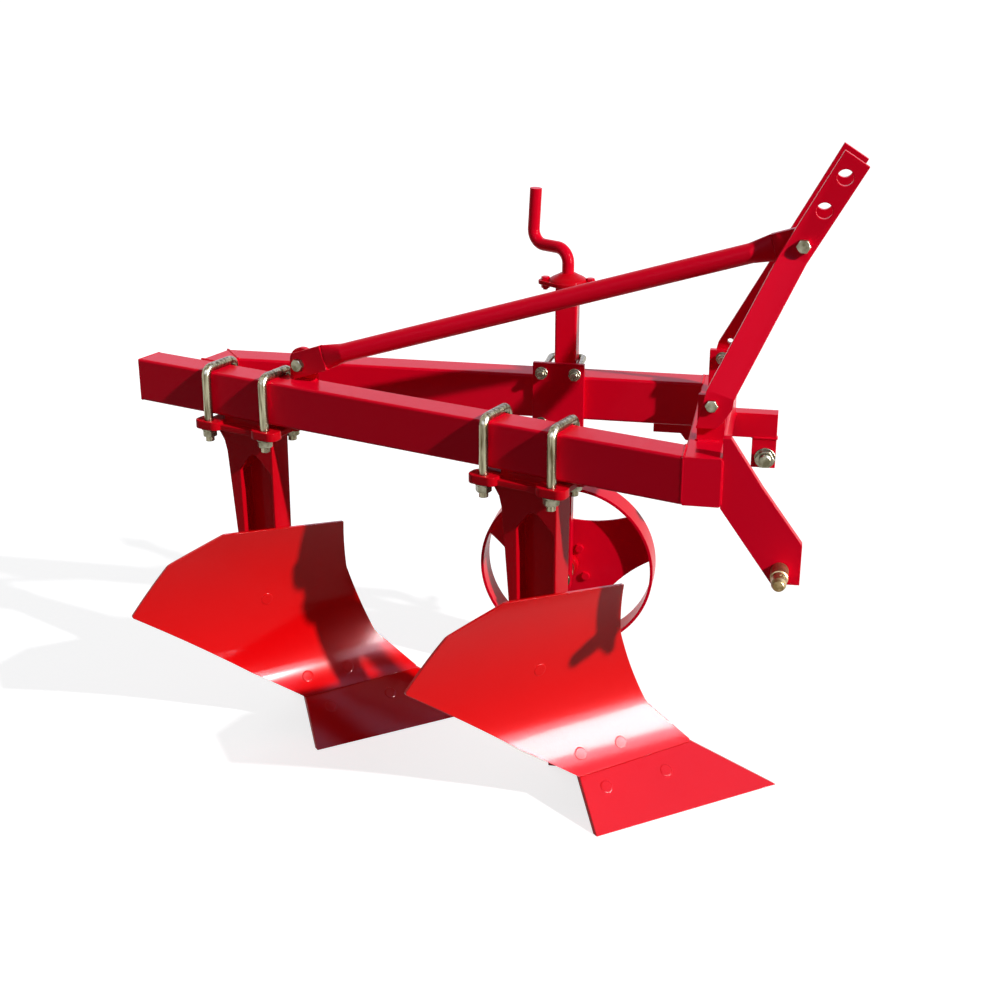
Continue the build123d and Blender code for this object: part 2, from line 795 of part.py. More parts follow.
# two-bolt bearing flange on top of the post, and the crank that turns in it
flange_bolt_reach = 41.0
flange_plate = 8.0
flange_core = Circle(37) + Pos(-flange_bolt_reach, 0) * Circle(13) + Pos(flange_bolt_reach, 0) * Circle(13)
flange_outline = make_hull(flange_core.edges())
bearing = Pos(post_x, post_y, post_top) * extrude(flange_outline, flange_plate)
bearing += Pos(post_x, post_y, post_top + flange_plate) * extrude(Circle(24), 5)
bearing += Pos(post_x, post_y, post_top + flange_plate + 5) * extrude(Circle(14.5), 6)
bearing -= Pos(post_x, post_y, post_top) * extrude(Circle(crank_radius + hole_gap), 40)
for x in (post_x - flange_bolt_reach, post_x + flange_bolt_reach):
    bearing -= Pos(x, post_y, post_top) * extrude(Circle(5 + hole_gap), 40)
pieces["post_flange"] = bearing
pieces["post_flange_bolts"] = Compound(
    [
        bolt((x, post_y, post_top + flange_plate), (0, 0, -1), 5, flange_plate)
        for x in (post_x - flange_bolt_reach, post_x + flange_bolt_reach)
    ]
)

turn_z = post_top + flange_plate + crank_rise
arm_x = post_x + crank_arm * math.cos(math.radians(crank_turn))
arm_y = post_y + crank_arm * math.sin(math.radians(crank_turn))
crank_route = [
    (post_x, post_y, post_top - 6),
    (post_x, post_y, turn_z),
    (arm_x, arm_y, turn_z),
    (arm_x + 5, arm_y, turn_z + crank_handle),
]
pieces["crank"] = bent_rod(crank_route, crank_radius, crank_bend)

# ---------------------------------------------------------------- depth wheel
band_near = post_far + wheel_gap
band_far = band_near + wheel_width
wheel_y = (band_near + band_far) / 2
hub_near = band_near + 8.0
hub_far = hub_near + hub_length
web_near = wheel_y - web_thickness / 2
web_far = wheel_y + web_thickness / 2
leg_half = leg_size / 2

leg = block(
    (post_x - leg_half, post_x + leg_half),
    (post_y - leg_half, post_y + leg_half),
    (leg_foot, leg_top),
)
pieces["wheel_leg"] = leg - rod(
    (post_x, post_y - leg_size, wheel_z), (post_x, post_y + leg_size, wheel_z), axle_radius + hole_gap
)

axle_near = post_y - leg_half
axle = rod((post_x, axle_near - 12, wheel_z), (post_x, hub_far + 16, wheel_z), axle_radius)
axle += rod((post_x, axle_near - 9, wheel_z), (post_x, axle_near, wheel_z), 16)
axle += rod((post_x, post_y + leg_half, wheel_z), (post_x, hub_near - seat_gap, wheel_z), 16)
axle += hexagon((post_x, hub_far + seat_gap, wheel_z), (0, 1, 0), axle_radius, 12)
pieces["wheel_axle"] = axle


def ring(y0, y1, outer, inner):
    """Ring about the wheel's axle."""
    face = Plane.XZ * (Circle(outer) - Circle(inner))
    return Pos(post_x, y0, wheel_z) * extrude(face, y1 - y0, dir=(0, 1, 0))


pieces["wheel_rim"] = ring(band_near, band_far, wheel_radius, wheel_radius - band_thickness)

disc = ring(web_near, web_far, wheel_radius - band_thickness, hub_radius + hole_gap)
hub = ring(hub_near, hub_far, hub_radius, axle_radius + axle_running_gap)
hub += ring(web_far, web_far + hub_flange_thickness, hub_flange_radius, hub_radius - 2)
hub_bolts = []
for angle in spoke_angles:
    away = math.radians(angle + 60)
    x = post_x + web_arc_centre * math.cos(away)
    z = wheel_z + web_arc_centre * math.sin(away)
    disc -= rod((x, web_near - 1, z), (x, web_far + 1, z), web_arc_radius)
for index in range(4):
    away = math.radians(58 + 90 * index)
    x = post_x + hub_bolt_circle * math.cos(away)
    z = wheel_z + hub_bolt_circle * math.sin(away)
    near = (x, web_near, z)
    hole = rod((x, hub_near, z), (x, hub_far, z), hub_bolt_radius + hole_gap)
    disc -= hole
    hub -= hole
    hub_bolts.append(bolt(near, (0, 1, 0), hub_bolt_radius, hub_flange_thickness + web_thickness))
pieces["wheel_disc"] = disc
pieces["wheel_hub"] = hub
pieces["hub_bolts"] = Compound(hub_bolts)

# ---------------------------------------------------------------- common origin
whole = Compound(list(pieces.values())).bounding_box()
shift = Vector(-whole.center().X, -whole.center().Y, -whole.min.Z)
for name, shape in pieces.items():
    export_step(Pos(shift) * shape, f"parts/{name}.step")
print("shift", shift, "size", whole.size, "pieces", len(pieces))
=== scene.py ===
import math

import bmesh
import bpy
import numpy as np
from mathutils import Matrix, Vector


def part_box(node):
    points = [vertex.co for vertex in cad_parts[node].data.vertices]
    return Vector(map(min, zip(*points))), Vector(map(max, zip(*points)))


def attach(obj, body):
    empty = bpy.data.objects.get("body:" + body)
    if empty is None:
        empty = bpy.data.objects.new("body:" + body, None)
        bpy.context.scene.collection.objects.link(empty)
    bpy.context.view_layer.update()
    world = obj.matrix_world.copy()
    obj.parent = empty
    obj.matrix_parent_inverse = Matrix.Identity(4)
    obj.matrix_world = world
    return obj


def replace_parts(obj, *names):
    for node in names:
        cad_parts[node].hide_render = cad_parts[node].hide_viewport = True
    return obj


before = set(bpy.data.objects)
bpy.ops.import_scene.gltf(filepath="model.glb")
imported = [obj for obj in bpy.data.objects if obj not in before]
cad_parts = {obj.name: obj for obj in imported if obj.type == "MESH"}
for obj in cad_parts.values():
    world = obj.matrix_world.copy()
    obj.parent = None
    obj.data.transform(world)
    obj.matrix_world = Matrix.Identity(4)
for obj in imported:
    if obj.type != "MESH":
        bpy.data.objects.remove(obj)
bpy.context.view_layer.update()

# ---------------------------------------------------------------- studio
# A pale seamless floor under a low sun from ahead, with a weak soft fill from behind.
# Panels of blue-white sky, seen only as reflections, stand round the plough. The camera
# stands beside its headstock, on the right, and looks down and a little back on it.
corner_cap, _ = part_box("cross_beam_cap_right")
beam_corner = Vector((corner_cap.x, corner_cap.y, 0.0))
camera_from_corner = Vector((0.1588, -2.3069, 1.4887))
camera_down = 20.8885
camera_left = 10.92

camera_data = bpy.data.cameras.new("camera")
camera_data.lens = 56.98
camera_data.sensor_width = 36.0
camera = bpy.data.objects.new("camera", camera_data)
camera.location = beam_corner + camera_from_corner
camera.rotation_euler = (math.radians(90 - camera_down), 0.0, math.radians(camera_left))
bpy.context.scene.collection.objects.link(camera)
bpy.context.scene.camera = camera


def linear(hex_code):
    """Linear RGBA of an sRGB hex colour: the sRGB curve undone for each channel."""
    values = np.array([int(hex_code[i:i + 2], 16) for i in (1, 3, 5)]) / 255.0
    low = values / 12.92
    high = ((values + 0.055) / 1.055) ** 2.4
    return (*np.where(values <= 0.04045, low, high), 1.0)


def add(tree, kind, inputs=None, **properties):
    """Adds a node with its properties set. Inputs go by socket name or number, and each is
    a value or another node's output, which is linked."""
    node = tree.nodes.new(kind)
    for name, value in properties.items():
        setattr(node, name, value)
    for socket, value in (inputs or {}).items():
        if isinstance(value, bpy.types.NodeSocket):
            tree.links.new(value, node.inputs[socket])
        else:
            node.inputs[socket].default_value = value
    return node


def fresh_tree(owner):
    """The owner's node tree, emptied."""
    owner.use_nodes = True
    owner.node_tree.nodes.clear()
    return owner.node_tree


def seen_white(tree, unseen, seen):
    """Mix of two shaders: seen for camera, glossy and transmission rays, unseen for the rest."""
    rays = add(tree, "ShaderNodeLightPath")
    total = rays.outputs["Is Camera Ray"]
    for kind in ("Is Glossy Ray", "Is Transmission Ray"):
        either = add(tree, "ShaderNodeMath", {0: total, 1: rays.outputs[kind]}, operation="MAXIMUM")
        total = either.outputs[0]
    return add(tree, "ShaderNodeMixShader", {0: total, 1: unseen.outputs[0], 2: seen.outputs[0]})


def toward(azimuth, elevation):
    """Unit vector to a bearing: azimuth from +X towards +Y and elevation, in degrees."""
    turn, rise = math.radians(azimuth), math.radians(elevation)
    return Vector((math.cos(rise) * math.cos(turn), math.cos(rise) * math.sin(turn), math.sin(rise)))


def lamp(name, azimuth, elevation, distance, width, height, power, tint="#FFFFFF"):
    """Rectangular lamp at a bearing and distance from the plough's middle, facing it."""
    plough_middle = Vector((0.0, 0.0, 0.35))
    data = bpy.data.lights.new(name, "AREA")
    data.shape = "RECTANGLE"
    data.size = width
    data.size_y = height
    data.energy = power
    data.color = linear(tint)[:3]
    obj = bpy.data.objects.new(name, data)
    direction = toward(azimuth, elevation)
    obj.location = plough_middle + direction * distance
    obj.rotation_euler = direction.to_track_quat("Z", "Y").to_euler()
    bpy.context.scene.collection.objects.link(obj)
    return obj


sun_data = bpy.data.lights.new("sun_lamp", "SUN")
sun_data.energy = 3.6
sun_data.angle = math.radians(1.5)
sun = bpy.data.objects.new("sun_lamp", sun_data)
sun.rotation_euler = toward(-27, 33).to_track_quat("Z", "Y").to_euler()
bpy.context.scene.collection.objects.link(sun)

# The fill keeps the far sides readable, and draws no highlight of its own.
fill = lamp("fill_lamp", 138, 38, 6.0, 5.0, 5.0, 110.0)
fill.visible_glossy = False

# Panels that only show as reflections: the strip and its halo draw the long highlight on
# the curved plates, and the pieces of sky turn the faces that lean to them a little pink.
# name, azimuth, elevation, distance, width, height, power, colour
for panel in (
    ("strip_lamp", -15, 16.0, 4.0, 1.5, 1.2, 520.0, "#FFFFFF"),
    ("strip_halo", -16, 17.0, 4.0, 2.6, 2.0, 400.0, "#F4F0FF"),
    ("sky_at_camera", -98, 34, 6.0, 7.0, 3.4, 260.0, "#B9C8FF"),
    ("sky_ahead", -7, 42, 6.0, 6.0, 3.6, 260.0, "#A9BCFF"),
    ("sky_beyond", 92, 32, 6.0, 8.0, 4.0, 50.0, "#7A94FF"),
):
    lamp(*panel).visible_diffuse = False

world = bpy.data.worlds.new("pale_sky")
bpy.context.scene.world = world
sky = fresh_tree(world)
lighting = add(sky, "ShaderNodeBackground", {"Color": linear("#F2F6FF"), "Strength": 0.16})
backdrop = add(sky, "ShaderNodeBackground", {"Color": linear("#FFFFFF"), "Strength": 1.0})
add(sky, "ShaderNodeOutputWorld", {"Surface": seen_white(sky, lighting, backdrop).outputs[0]})

# The floor is a matt white sheet. It throws back little light, and where it is seen it
# glows to white and keeps the plough's shadow.
floor_half = 30.0
floor_corners = [(-1, -1), (1, -1), (1, 1), (-1, 1)]
floor_mesh = bpy.data.meshes.new("floor")
floor_mesh.from_pydata([(x * floor_half, y * floor_half, 0.0) for x, y in floor_corners], [], [(0, 1, 2, 3)])
floor = bpy.data.objects.new("floor", floor_mesh)
bpy.context.scene.collection.objects.link(floor)
floor_paint = bpy.data.materials.new("matt_white_floor")
tree = fresh_tree(floor_paint)
grey = add(tree, "ShaderNodeBsdfDiffuse", {"Color": linear("#626262")})
white = add(tree, "ShaderNodeBsdfDiffuse", {"Color": linear("#A8A8A8")})
glow = add(tree, "ShaderNodeEmission", {"Color": linear("#FFFFFF"), "Strength": 0.78})
lit = add(tree, "ShaderNodeAddShader", {0: white.outputs[0], 1: glow.outputs[0]})
add(tree, "ShaderNodeOutputMaterial", {"Surface": seen_white(tree, grey, lit).outputs[0]})
floor_mesh.materials.append(floor_paint)

bpy.context.scene.view_settings.view_transform = "Standard"


# ---------------------------------------------------------------- welded frame
# Box-section beams, plates and bars of mild steel, cut square and welded together, with
# the headstock, the depth wheel and its post. One coat of sprayed gloss enamel covers all.
def enamel(name, colour, thin_colour, grain_mm, relief_mm, roughness, ior, coat):
    """Gloss enamel: two close reds in slow patches over a relief of one grain size, under a
    thin clear skin. Settled dust changes how sharp its reflections are from place to place."""
    patch_mm = 111.11
    dust_mm = 16.667
    dust_gloss = (-0.06, 0.08)
    material = bpy.data.materials.new(name)
    tree = fresh_tree(material)
    place = add(tree, "ShaderNodeTexCoord").outputs["Object"]
    patches = add(tree, "ShaderNodeTexNoise", {"Vector": place, "Scale": 1000 / patch_mm, "Detail": 4.0})
    shade = add(
        tree,
        "ShaderNodeMix",
        {0: patches.outputs["Fac"], 6: linear(colour), 7: linear(thin_colour)},
        data_type="RGBA",
    )
    dust = add(tree, "ShaderNodeTexNoise", {"Vector": place, "Scale": 1000 / dust_mm, "Detail": 6.0})
    gloss = add(tree, "ShaderNodeMapRange", {
        "Value": dust.outputs["Fac"],
        "To Min": roughness + dust_gloss[0],
        "To Max": roughness + dust_gloss[1],
    })
    peel = add(tree, "ShaderNodeTexNoise", {"Vector": place, "Scale": 1000 / grain_mm, "Detail": 3.0})
    relief = add(tree, "ShaderNodeBump", {"Height": peel.outputs["Fac"], "Distance": relief_mm / 1000})
    skin = add(tree, "ShaderNodeBsdfPrincipled", {
        "Base Color": shade.outputs[2],
        "Roughness": gloss.outputs[0],
        "Normal": relief.outputs[0],
        "IOR": ior,
        "Specular Tint": linear(colour),
        "Coat Weight": coat,
        "Coat Roughness": 0.13,
        "Coat IOR": 1.22,
    })
    add(tree, "ShaderNodeOutputMaterial", {"Surface": skin.outputs[0]})
    return material


def dress(node, material, edge_mm=1.0):
    """Paints a CAD piece, rounds its sharp edges by edge_mm and smooths its curved faces."""
    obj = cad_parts[node]
    obj.data.materials.clear()
    obj.data.materials.append(material)
    obj.data.polygons.foreach_set("use_smooth", np.ones(len(obj.data.polygons), bool))
    weld = obj.modifiers.new("weld", "WELD")
    weld.merge_threshold = 0.00001
    flats = obj.modifiers.new("flats", "DECIMATE")
    flats.decimate_type = "DISSOLVE"
    flats.angle_limit = math.radians(0.4)
    edges = obj.modifiers.new("edges", "BEVEL")
    edges.width = edge_mm / 1000
    edges.segments = 2
    edges.limit_method = "ANGLE"
    edges.angle_limit = math.radians(32)
    edges.use_clamp_overlap = False
    edges.harden_normals = False
    shading = obj.modifiers.new("shading", "WEIGHTED_NORMAL")
    shading.keep_sharp = False


# Sprayed crimson enamel on rolled steel: to the eye an even, deep red with a soft gloss.
# Its orange peel is 1.4 mm across and only softens the reflections.
steel_enamel = enamel("gloss_enamel_on_steel", "#DC0426", "#DE0220", 1.4, 0.03, 0.3, 1.12, 0.18)
for node in (
    "main_beam", "main_beam_cap", "cross_beam", "cross_beam_cap_right", "cross_beam_cap_left",
    "side_beam", "stub_beam", "mast_lug_right", "mast_lug_left", "mast_bar_right",
    "mast_bar_left", "mast_stay", "stay_lug", "right_hitch_plate", "left_hitch_arm",
    "left_hitch_stiffener", "left_hitch_plate", "wheel_clamp_plate", "wheel_post",
    "wheel_leg", "crank", "wheel_rim", "wheel_disc",
):
    dress(node, steel_enamel)

# ---------------------------------------------------------------- castings
# The standards with their flanges, the frogs, the crank's bearing and the wheel's hub are
# sand-cast, fettled and painted with the frame.
# The same enamel over a cast skin gives a darker, duller red with soft edges. Sand grain of
# half a millimetre is too fine to show, so the skin is drawn 2.6 mm coarse.
cast_enamel = enamel("gloss_enamel_on_casting", "#C40416", "#CC0418", 2.6, 0.12, 0.36, 1.12, 0.2)
for node in ("front_standard", "rear_standard", "front_frog", "rear_frog", "post_flange", "wheel_hub"):
    dress(node, cast_enamel, 1.6)


# ---------------------------------------------------------------- weld seams
# The frame's pieces are joined by fillet welds: beads about 5 mm wide, laid by hand in
# short steps that show as ripples, and painted over with the rest.
def make_piece(name, grids, material, body, crease=22):
    """One mesh from grids of points, each open along its first index and closed round its
    second. Its edges stay sharp where two faces meet at more than crease degrees."""
    points, quads, base = [], [], 0
    for grid in grids:
        rows, columns = grid.shape[:2]
        row, column = np.meshgrid(np.arange(rows - 1), np.arange(columns), indexing="ij")
        here = base + row * columns + column
        beside = base + row * columns + (column + 1) % columns
        quads.append(np.stack([here, beside, beside + columns, here + columns], -1).reshape(-1, 4))
        points.append(grid.reshape(-1, 3))
        base += rows * columns
    mesh = bpy.data.meshes.new(name)
    mesh.from_pydata(np.concatenate(points).tolist(), [], np.concatenate(quads).tolist())
    solid = bmesh.new()
    solid.from_mesh(mesh)
    bmesh.ops.remove_doubles(solid, verts=solid.verts, dist=0.000002)
    bmesh.ops.recalc_face_normals(solid, faces=solid.faces)
    solid.to_mesh(mesh)
    solid.free()
    mesh.polygons.foreach_set("use_smooth", np.ones(len(mesh.polygons), bool))
    mesh.set_sharp_from_angle(angle=math.radians(crease))
    mesh.materials.append(material)
    obj = bpy.data.objects.new(name, mesh)
    bpy.context.scene.collection.objects.link(obj)
    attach(obj, body)
    return obj


def bead(*corners, size=0.0026):
    """Rippled round cord along straight runs: the radius swells and sinks once a step, sways
    a little with the hand, and closes to nothing at both ends."""
    step = 0.0045
    sway = 0.02027
    spacing = 0.0012
    path = np.array([tuple(corner) for corner in corners], float)
    lengths = np.linalg.norm(np.diff(path, axis=0), axis=1)
    stations = np.concatenate([[0.0], np.cumsum(lengths)])
    s = np.linspace(0.0, stations[-1], max(8, int(stations[-1] / spacing)))
    centre = np.stack([np.interp(s, stations, path[:, k]) for k in range(3)], -1)
    run = np.gradient(centre, axis=0)
    run /= np.linalg.norm(run, axis=1, keepdims=True)
    guide = np.where(np.abs(run[:, 2:3]) < 0.7, [[0.0, 0.0, 1.0]], [[1.0, 0.0, 0.0]])
    side = np.cross(run, guide)
    side /= np.linalg.norm(side, axis=1, keepdims=True)
    up = np.cross(side, run)
    ripple = 0.86 + 0.14 * np.abs(np.sin(math.pi * s / step)) + 0.05 * np.sin(2 * math.pi * s / sway)
    taper = np.sqrt(np.clip(np.minimum(s, s[-1] - s) / size, 0.0, 1.0))
    radius = (size * ripple * taper)[:, None, None]
    angle = np.linspace(0.0, 2 * math.pi, 10, endpoint=False)[None, :, None]
    return centre[:, None] + radius * (np.cos(angle) * side[:, None] + np.sin(angle) * up[:, None])


def corner_loop(low, high, z, inset=0.0):
    """Bead round an upright block at the height z, inside its corners by the inset."""
    x0, y0, x1, y1 = low.x + inset, low.y + inset, high.x - inset, high.y - inset
    return bead((x0, y0, z), (x1, y0, z), (x1, y1, z), (x0, y1, z), (x0, y0, z))


beam_forward = Vector((550.0, -190.0, 0.0)).normalized()
beam_across = Vector((190.0, 550.0, 0.0)).normalized()
beam_width = 0.060
cross_low, cross_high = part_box("cross_beam")
beam_low, beam_high = cross_low.z, cross_high.z
cross_rear, cross_front = cross_low.x, cross_high.x
cross_near = corner_cap.y

# Beads lie in the beams' rounded upper corners and stop above the lower ones.
weld_low = beam_low + 0.004
weld_high = beam_high - 0.001
corner_round = 0.002
frame_beads = []

# main beam and side beam to the cross beam's rear face
main_far = cross_near + beam_width / beam_across.y
frame_beads.append(bead(
    (cross_rear, cross_near + corner_round, weld_low),
    (cross_rear, cross_near + corner_round, weld_high),
    (cross_rear, main_far - corner_round, weld_high),
    (cross_rear, main_far, weld_low),
))
side_low, side_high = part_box("side_beam")
frame_beads.append(bead(
    (cross_rear, side_low.y + 2 * corner_round, weld_low),
    (cross_rear, side_low.y + corner_round, weld_high),
    (cross_rear, side_high.y - corner_round, weld_high),
))

# the mitre between side beam and stub beam, and the stub's foot on the main beam
stub_length = 0.0339
_, stub_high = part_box("stub_beam")
outer_kink = Vector((side_low.x, side_high.y - 0.001, 0.0))
inner_kink = Vector((stub_high.x, side_low.y, 0.0))
mitre_high = beam_high - 0.0008
frame_beads.append(bead(
    (inner_kink.x, inner_kink.y, mitre_high),
    (outer_kink.x, outer_kink.y, mitre_high),
    (outer_kink.x, outer_kink.y, beam_low + corner_round),
))
stub_foot = inner_kink - beam_across * stub_length
stub_heel = stub_foot - beam_forward * beam_width
frame_beads.append(bead(
    (stub_foot.x, stub_foot.y, weld_low),
    (stub_foot.x, stub_foot.y, weld_high),
    (stub_heel.x, stub_heel.y, weld_high),
    (stub_heel.x, stub_heel.y, weld_low),
))

# caps on the open ends, welded all round with a thin bead and ground nearly flush
cap_bead = 0.0013
cap_edge = 0.001
for node, inner_side in (("cross_beam_cap_right", 1), ("cross_beam_cap_left", 0)):
    low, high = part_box(node)
    y = (low.y, high.y)[inner_side]
    x0, x1, z0, z1 = low.x + cap_edge, high.x - cap_edge, low.z + cap_edge, high.z - cap_edge
    loop = ((x0, y, z0), (x0, y, z1), (x1, y, z1), (x1, y, z0), (x0, y, z0))
    frame_beads.append(bead(*loop, size=cap_bead))
cap_half_thickness = 0.002
cap_inset = 0.0016
rear_low, rear_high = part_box("main_beam_cap")
cap_middle = Vector(((rear_low.x + rear_high.x) / 2, (rear_low.y + rear_high.y) / 2, 0.0))
seam = cap_middle + beam_forward * cap_half_thickness
edge = beam_across * (beam_width / 2 - cap_inset)
near, far = seam - edge, seam + edge
z0, z1 = beam_low + cap_inset, beam_high - cap_inset
loop = [(near.x, near.y, z0), (near.x, near.y, z1), (far.x, far.y, z1), (far.x, far.y, z0)]
loop.append(loop[0])
frame_beads.append(bead(*loop, size=cap_bead))

# lugs of the mast and the stay
for node in ("mast_lug_right", "mast_lug_left"):
    low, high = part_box(node)
    frame_beads.append(corner_loop(low, high, low.z))
lug_half_thickness = 0.005
lug_bead_half = 0.028
lug_low, lug_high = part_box("stay_lug")
lug_middle = Vector(((lug_low.x + lug_high.x) / 2, (lug_low.y + lug_high.y) / 2, beam_high))
for face in (-lug_half_thickness, lug_half_thickness):
    foot = lug_middle + beam_across * face
    frame_beads.append(bead(foot - beam_forward * lug_bead_half, foot + beam_forward * lug_bead_half))

# hitch plates and the left arm to the cross beam, and the post to its flange
upright_gap = 0.003
level_gap = 0.004
plate_low, plate_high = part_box("right_hitch_plate")
for y in (plate_low.y, plate_high.y):
    bottom, top = (cross_front, y, beam_low + upright_gap), (cross_front, y, beam_high - upright_gap)
    frame_beads.append(bead(bottom, top))
arm_low, arm_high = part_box("left_hitch_arm")
arm_edge = arm_low.y
frame_beads.append(bead(
    (arm_low.x + level_gap, arm_edge, arm_high.z),
    (cross_front - level_gap, arm_edge, arm_high.z),
))
bottom, top = (cross_front, arm_edge, beam_low + upright_gap), (cross_front, arm_edge, arm_high.z)
frame_beads.append(bead(bottom, top))
hook_low, hook_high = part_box("left_hitch_plate")
frame_beads.append(corner_loop(hook_low, hook_high, hook_high.z, inset=0.0005))
post_low, post_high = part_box("wheel_post")
frame_beads.append(corner_loop(post_low, post_high, post_high.z, inset=0.0005))
make_piece("frame_welds", frame_beads, steel_enamel, "frame")

# ---------------------------------------------------------------- wheel welds
# The wheel's three-armed disc is cut from plate and welded inside the rolled band, with a
# bead on both sides of each arm's end.
arm_bearings = (24.0, 144.0, 264.0)
arm_half_sweep = 16.0
band_inner_radius = 0.1638
rim_low, rim_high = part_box("wheel_rim")
disc_low, disc_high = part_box("wheel_disc")
axle_x, axle_z = (rim_low.x + rim_high.x) / 2, (rim_low.z + rim_high.z) / 2
wheel_beads = []
for bearing in arm_bearings:
    sweep = np.radians(np.linspace(bearing - arm_half_sweep, bearing + arm_half_sweep, 24))
    arc_x = axle_x + band_inner_radius * np.cos(sweep)
    arc_z = axle_z + band_inner_radius * np.sin(sweep)
    for y in (disc_low.y, disc_high.y):
        wheel_beads.append(bead(*zip(arc_x, np.full_like(sweep, y), arc_z)))
make_piece("wheel_welds", wheel_beads, steel_enamel, "wheel")

# ---------------------------------------------------------------- soil-turning plates
# Mouldboards are rolled from 6 mm plate, shares and landsides forged from bar. They are
# sprayed before they are bolted on, in a brighter red with more gloss than the frame's.
# A thick clear skin gives the long highlight. Its orange peel, really 1 to 2 mm, is too fine
# to show, so it is drawn 3.5 mm across and makes the highlight's edge soft and a little wavy.
board_enamel = enamel("gloss_enamel_on_rolled_plate", "#D60206", "#DA0408", 3.5, 0.22, 0.3, 1.2, 0.8)
for place in ("front", "rear"):
    for plate in ("mouldboard", "share", "landside"):
        dress(f"{place}_{plate}", board_enamel, 0.8)


# ---------------------------------------------------------------- U-bolts and axle
# U-bolts bent from 16 mm and 12 mm rod clamp the standards and the wheel's post to the
# beams, and the wheel turns on a plain axle. All are drawn steel, zinc-plated.
def plating(name, colour, tint, roughness, grain=(1.0, 1.0, 1.0)):
    """Bright plated steel: a metal whose colour drifts to a tint in small clouds, drawn out
    where the grain's scale along an axis is small."""
    cloud_mm = 14.286
    cloud_contrast = (0.36, 0.64)
    cloud_gloss = (-0.08, 0.1)
    material = bpy.data.materials.new(name)
    tree = fresh_tree(material)
    place = add(tree, "ShaderNodeTexCoord").outputs["Object"]
    drawn = add(tree, "ShaderNodeMapping", {"Vector": place, "Scale": grain}).outputs[0]
    clouds = add(tree, "ShaderNodeTexNoise", {"Vector": drawn, "Scale": 1000 / cloud_mm, "Detail": 5.0})
    depth = add(tree, "ShaderNodeMapRange", {
        "Value": clouds.outputs["Fac"],
        "From Min": cloud_contrast[0],
        "From Max": cloud_contrast[1],
    })
    shade = add(
        tree,
        "ShaderNodeMix",
        {0: depth.outputs[0], 6: linear(colour), 7: linear(tint)},
        data_type="RGBA",
    )
    gloss = add(tree, "ShaderNodeMapRange", {
        "Value": clouds.outputs["Fac"],
        "To Min": roughness + cloud_gloss[0],
        "To Max": roughness + cloud_gloss[1],
    })
    skin = add(tree, "ShaderNodeBsdfPrincipled", {
        "Base Color": shade.outputs[2],
        "Roughness": gloss.outputs[0],
        "Metallic": 1.0,
    })
    add(tree, "ShaderNodeOutputMaterial", {"Surface": skin.outputs[0]})
    return material


# Zinc plate on drawn rod: a warm grey metal. Its brown streaks, 5 mm wide and 57 mm long and
# drawn out along the legs, are painted reflections of the dark surroundings in the bright rod;
# its gloss changes in the same streaks.
rod_zinc_painted_reflections = plating("zinc_plated_rod_painted_reflections", "#AEA88C", "#524830", 0.24, (3.0, 3.0, 0.25))
for node in ("front_u_bolts", "rear_u_bolts", "wheel_clamp_bolts", "wheel_axle"):
    dress(node, rod_zinc_painted_reflections, 0.6)

# ---------------------------------------------------------------- nuts and bolts
# Forged hexagon nuts and bolts with washers under them and threads that stand past the
# nuts. They hold the U-bolts, the wheel's clamp, the mast and the stay.
# Bright zinc plate: a paler grey metal with soft darker clouds, mirror-like on its flats.
zinc = plating("bright_zinc_plated_nuts", "#94917C", "#5E5944", 0.26)


def turned(start, axis, stations, apothem=None, turns=36):
    """Surface round an axis through (distance, radius) stations. With an apothem the radius
    is the smaller of the station's and that of a hexagon: apothem over the cosine of the
    angle from the nearest flat."""
    unit = np.array(axis, float) / np.linalg.norm(axis)
    guide = np.array([1.0, 0.0, 0.0] if abs(unit[0]) < 0.7 else [0.0, 0.0, 1.0])
    side = np.cross(unit, guide)
    side /= np.linalg.norm(side)
    up = np.cross(unit, side)
    distance, radius = np.array(stations, float).T
    angle = np.linspace(0.0, 2 * math.pi, turns, endpoint=False)
    reach = np.repeat(radius[:, None], turns, 1)
    if apothem:
        from_flat = np.mod(angle + math.pi / 6, math.pi / 3) - math.pi / 6
        reach = np.minimum(reach, apothem / np.cos(from_flat))
    ring = np.cos(angle)[:, None] * side + np.sin(angle)[:, None] * up
    along = np.array(start, float) + distance[:, None] * unit
    return along[:, None] + reach[..., None] * ring


def hexagon(start, axis, apothem, height):
    """Forged hexagon, its corners turned off at 30 degrees at both ends."""
    clip_start, corner = 0.95 * apothem, 1.155 * apothem
    clips = np.linspace(clip_start, corner, 5)
    depth = (clips - clip_start) * math.tan(math.radians(30))
    stations = [(0.0, 0.0), *zip(depth, clips)]
    stations += [*zip(height - depth[::-1], clips[::-1]), (height, 0.0)]
    return turned(start, axis, stations, apothem)


def washer(start, axis, radius, thickness):
    """Flat washer with a slightly rounded rim."""
    soft = thickness * 0.3
    stations = [(0.0, 0.0), (0.0, radius - soft), (soft, radius)]
    stations += [(thickness - soft, radius), (thickness, radius - soft), (thickness, 0.0)]
    return turned(start, axis, stations)


def thread(start, axis, radius, length, pitch):
    """Cut thread with a chamfered end: the radius falls and rises as a saw along the axis,
    and the saw moves on by one pitch in a turn."""
    depth = 0.55 * pitch
    chamfer = 0.86 * radius
    turns = 24
    distance = np.arange(0.0, length, pitch / 6)
    stations = [(0.0, 0.0), *((d, radius) for d in distance), (length, chamfer), (length, 0.0)]
    grid = turned(start, axis, stations, turns=turns)
    turn = np.linspace(0.0, 1.0, turns, endpoint=False)
    saw = np.abs(2.0 * np.mod(distance[:, None] / pitch - turn[None, :], 1.0) - 1.0)
    unit = np.array(axis, float) / np.linalg.norm(axis)
    middle_line = np.array(start, float) + distance[:, None] * unit
    rows = slice(1, 1 + len(distance))
    outward = (grid[rows] - middle_line[:, None]) / radius
    grid[rows] -= outward * (depth * saw)[..., None]
    return grid


